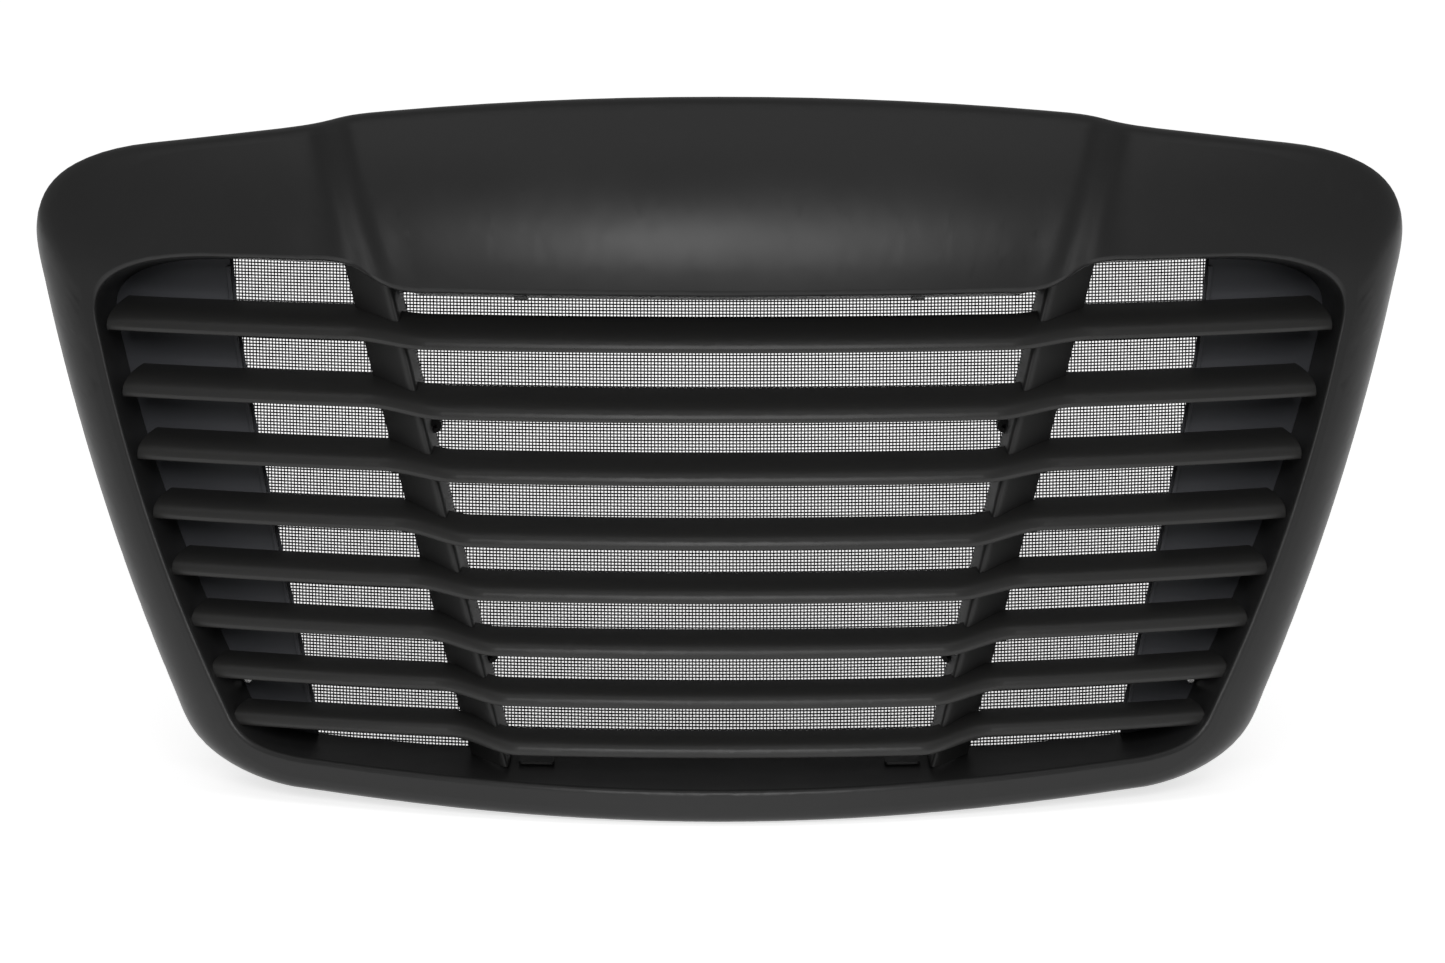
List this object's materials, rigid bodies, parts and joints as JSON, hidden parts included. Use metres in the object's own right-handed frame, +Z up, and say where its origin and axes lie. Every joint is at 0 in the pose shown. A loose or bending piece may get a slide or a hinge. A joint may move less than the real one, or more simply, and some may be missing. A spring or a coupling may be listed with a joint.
{
  "type": "front grille",
  "caption": "Black bowed truck front grille: raised brow, full-width louvres on two slanted posts, side panels and a woven insect screen.",
  "frame": {"origin": "centre of the four hood bolt holes, in the plane where the brackets meet the hood", "axes": "+X across the grille towards the vehicle's left, +Y from the front towards the hood (the grille faces -Y), +Z up"},
  "size_m": [1.2708, 0.26, 0.6443],
  "materials": {
    "moulded_black": "fine-textured satin black moulding",
    "panel_black": "satin, slightly blue black",
    "screen_wire": "black coated woven wire",
    "channel_black": "black coated strip",
    "hardware_black": "black oxide",
    "hardware_zinc": "bright zinc",
    "bracket_steel": "black e-coat",
    "insert_brass": "plain"
  },
  "bodies": {
    "root": {"surround_shell": "moulded_black", "louvre_1": "moulded_black", "louvre_2": "moulded_black", "louvre_3": "moulded_black", "louvre_4": "moulded_black", "louvre_5": "moulded_black", "louvre_6": "moulded_black", "louvre_7": "moulded_black", "louvre_8": "moulded_black", "left_post": "moulded_black", "right_post": "moulded_black", "left_side_panel": "panel_black", "right_side_panel": "panel_black", "bug_screen": "screen_wire", "upper_screen_channel": "channel_black", "lower_screen_channel": "channel_black", "left_screen_channel": "channel_black", "right_screen_channel": "channel_black", "lip_clips": "hardware_black", "ledge_clips": "hardware_black", "screen_screws": "hardware_black", "screen_washers": "hardware_black", "panel_screws": "hardware_zinc", "upper_left_bracket": "bracket_steel", "upper_right_bracket": "bracket_steel", "lower_left_bracket": "bracket_steel", "lower_right_bracket": "bracket_steel", "bracket_bolts": "hardware_zinc", "threaded_inserts": "insert_brass"}
  },
  "joints": []
}
